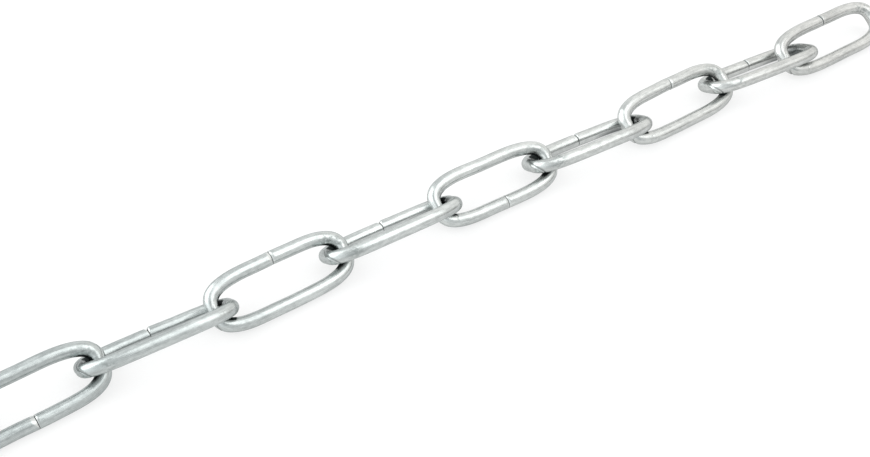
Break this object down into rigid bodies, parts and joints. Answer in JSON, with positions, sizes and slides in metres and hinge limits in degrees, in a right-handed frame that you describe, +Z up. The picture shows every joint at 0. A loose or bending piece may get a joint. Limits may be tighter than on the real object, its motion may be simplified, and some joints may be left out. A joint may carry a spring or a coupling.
{
  "type": "long link chain",
  "caption": "One metre of long link steel chain in bright zinc plated wire, lying on a floor: a straight run of twelve links, and the rest wound in a flat coil.",
  "frame": {"origin": "middle of the rectangle of floor that the chain covers", "axes": "+X along the straight run towards the chain's free end, +Z up"},
  "size_m": [0.3748, 0.1432, 0.0091],
  "materials": {
    "bright_zinc": "bright zinc plate, satin, with fine drawn streaks"
  },
  "bodies": {
    "root": {"link_01": "bright_zinc", "link_02": "bright_zinc", "link_03": "bright_zinc", "link_04": "bright_zinc", "link_05": "bright_zinc", "link_06": "bright_zinc", "link_07": "bright_zinc", "link_08": "bright_zinc", "link_09": "bright_zinc", "link_10": "bright_zinc", "link_11": "bright_zinc", "link_12": "bright_zinc", "link_13": "bright_zinc", "link_14": "bright_zinc", "link_15": "bright_zinc", "link_16": "bright_zinc", "link_17": "bright_zinc", "link_18": "bright_zinc", "link_19": "bright_zinc", "link_20": "bright_zinc", "link_21": "bright_zinc", "link_22": "bright_zinc", "link_23": "bright_zinc", "link_24": "bright_zinc", "link_25": "bright_zinc", "link_26": "bright_zinc", "link_27": "bright_zinc", "link_28": "bright_zinc", "link_29": "bright_zinc", "link_30": "bright_zinc", "link_31": "bright_zinc", "link_32": "bright_zinc", "link_33": "bright_zinc", "link_34": "bright_zinc", "link_35": "bright_zinc", "link_36": "bright_zinc", "link_37": "bright_zinc", "link_38": "bright_zinc", "link_39": "bright_zinc"}
  },
  "joints": []
}
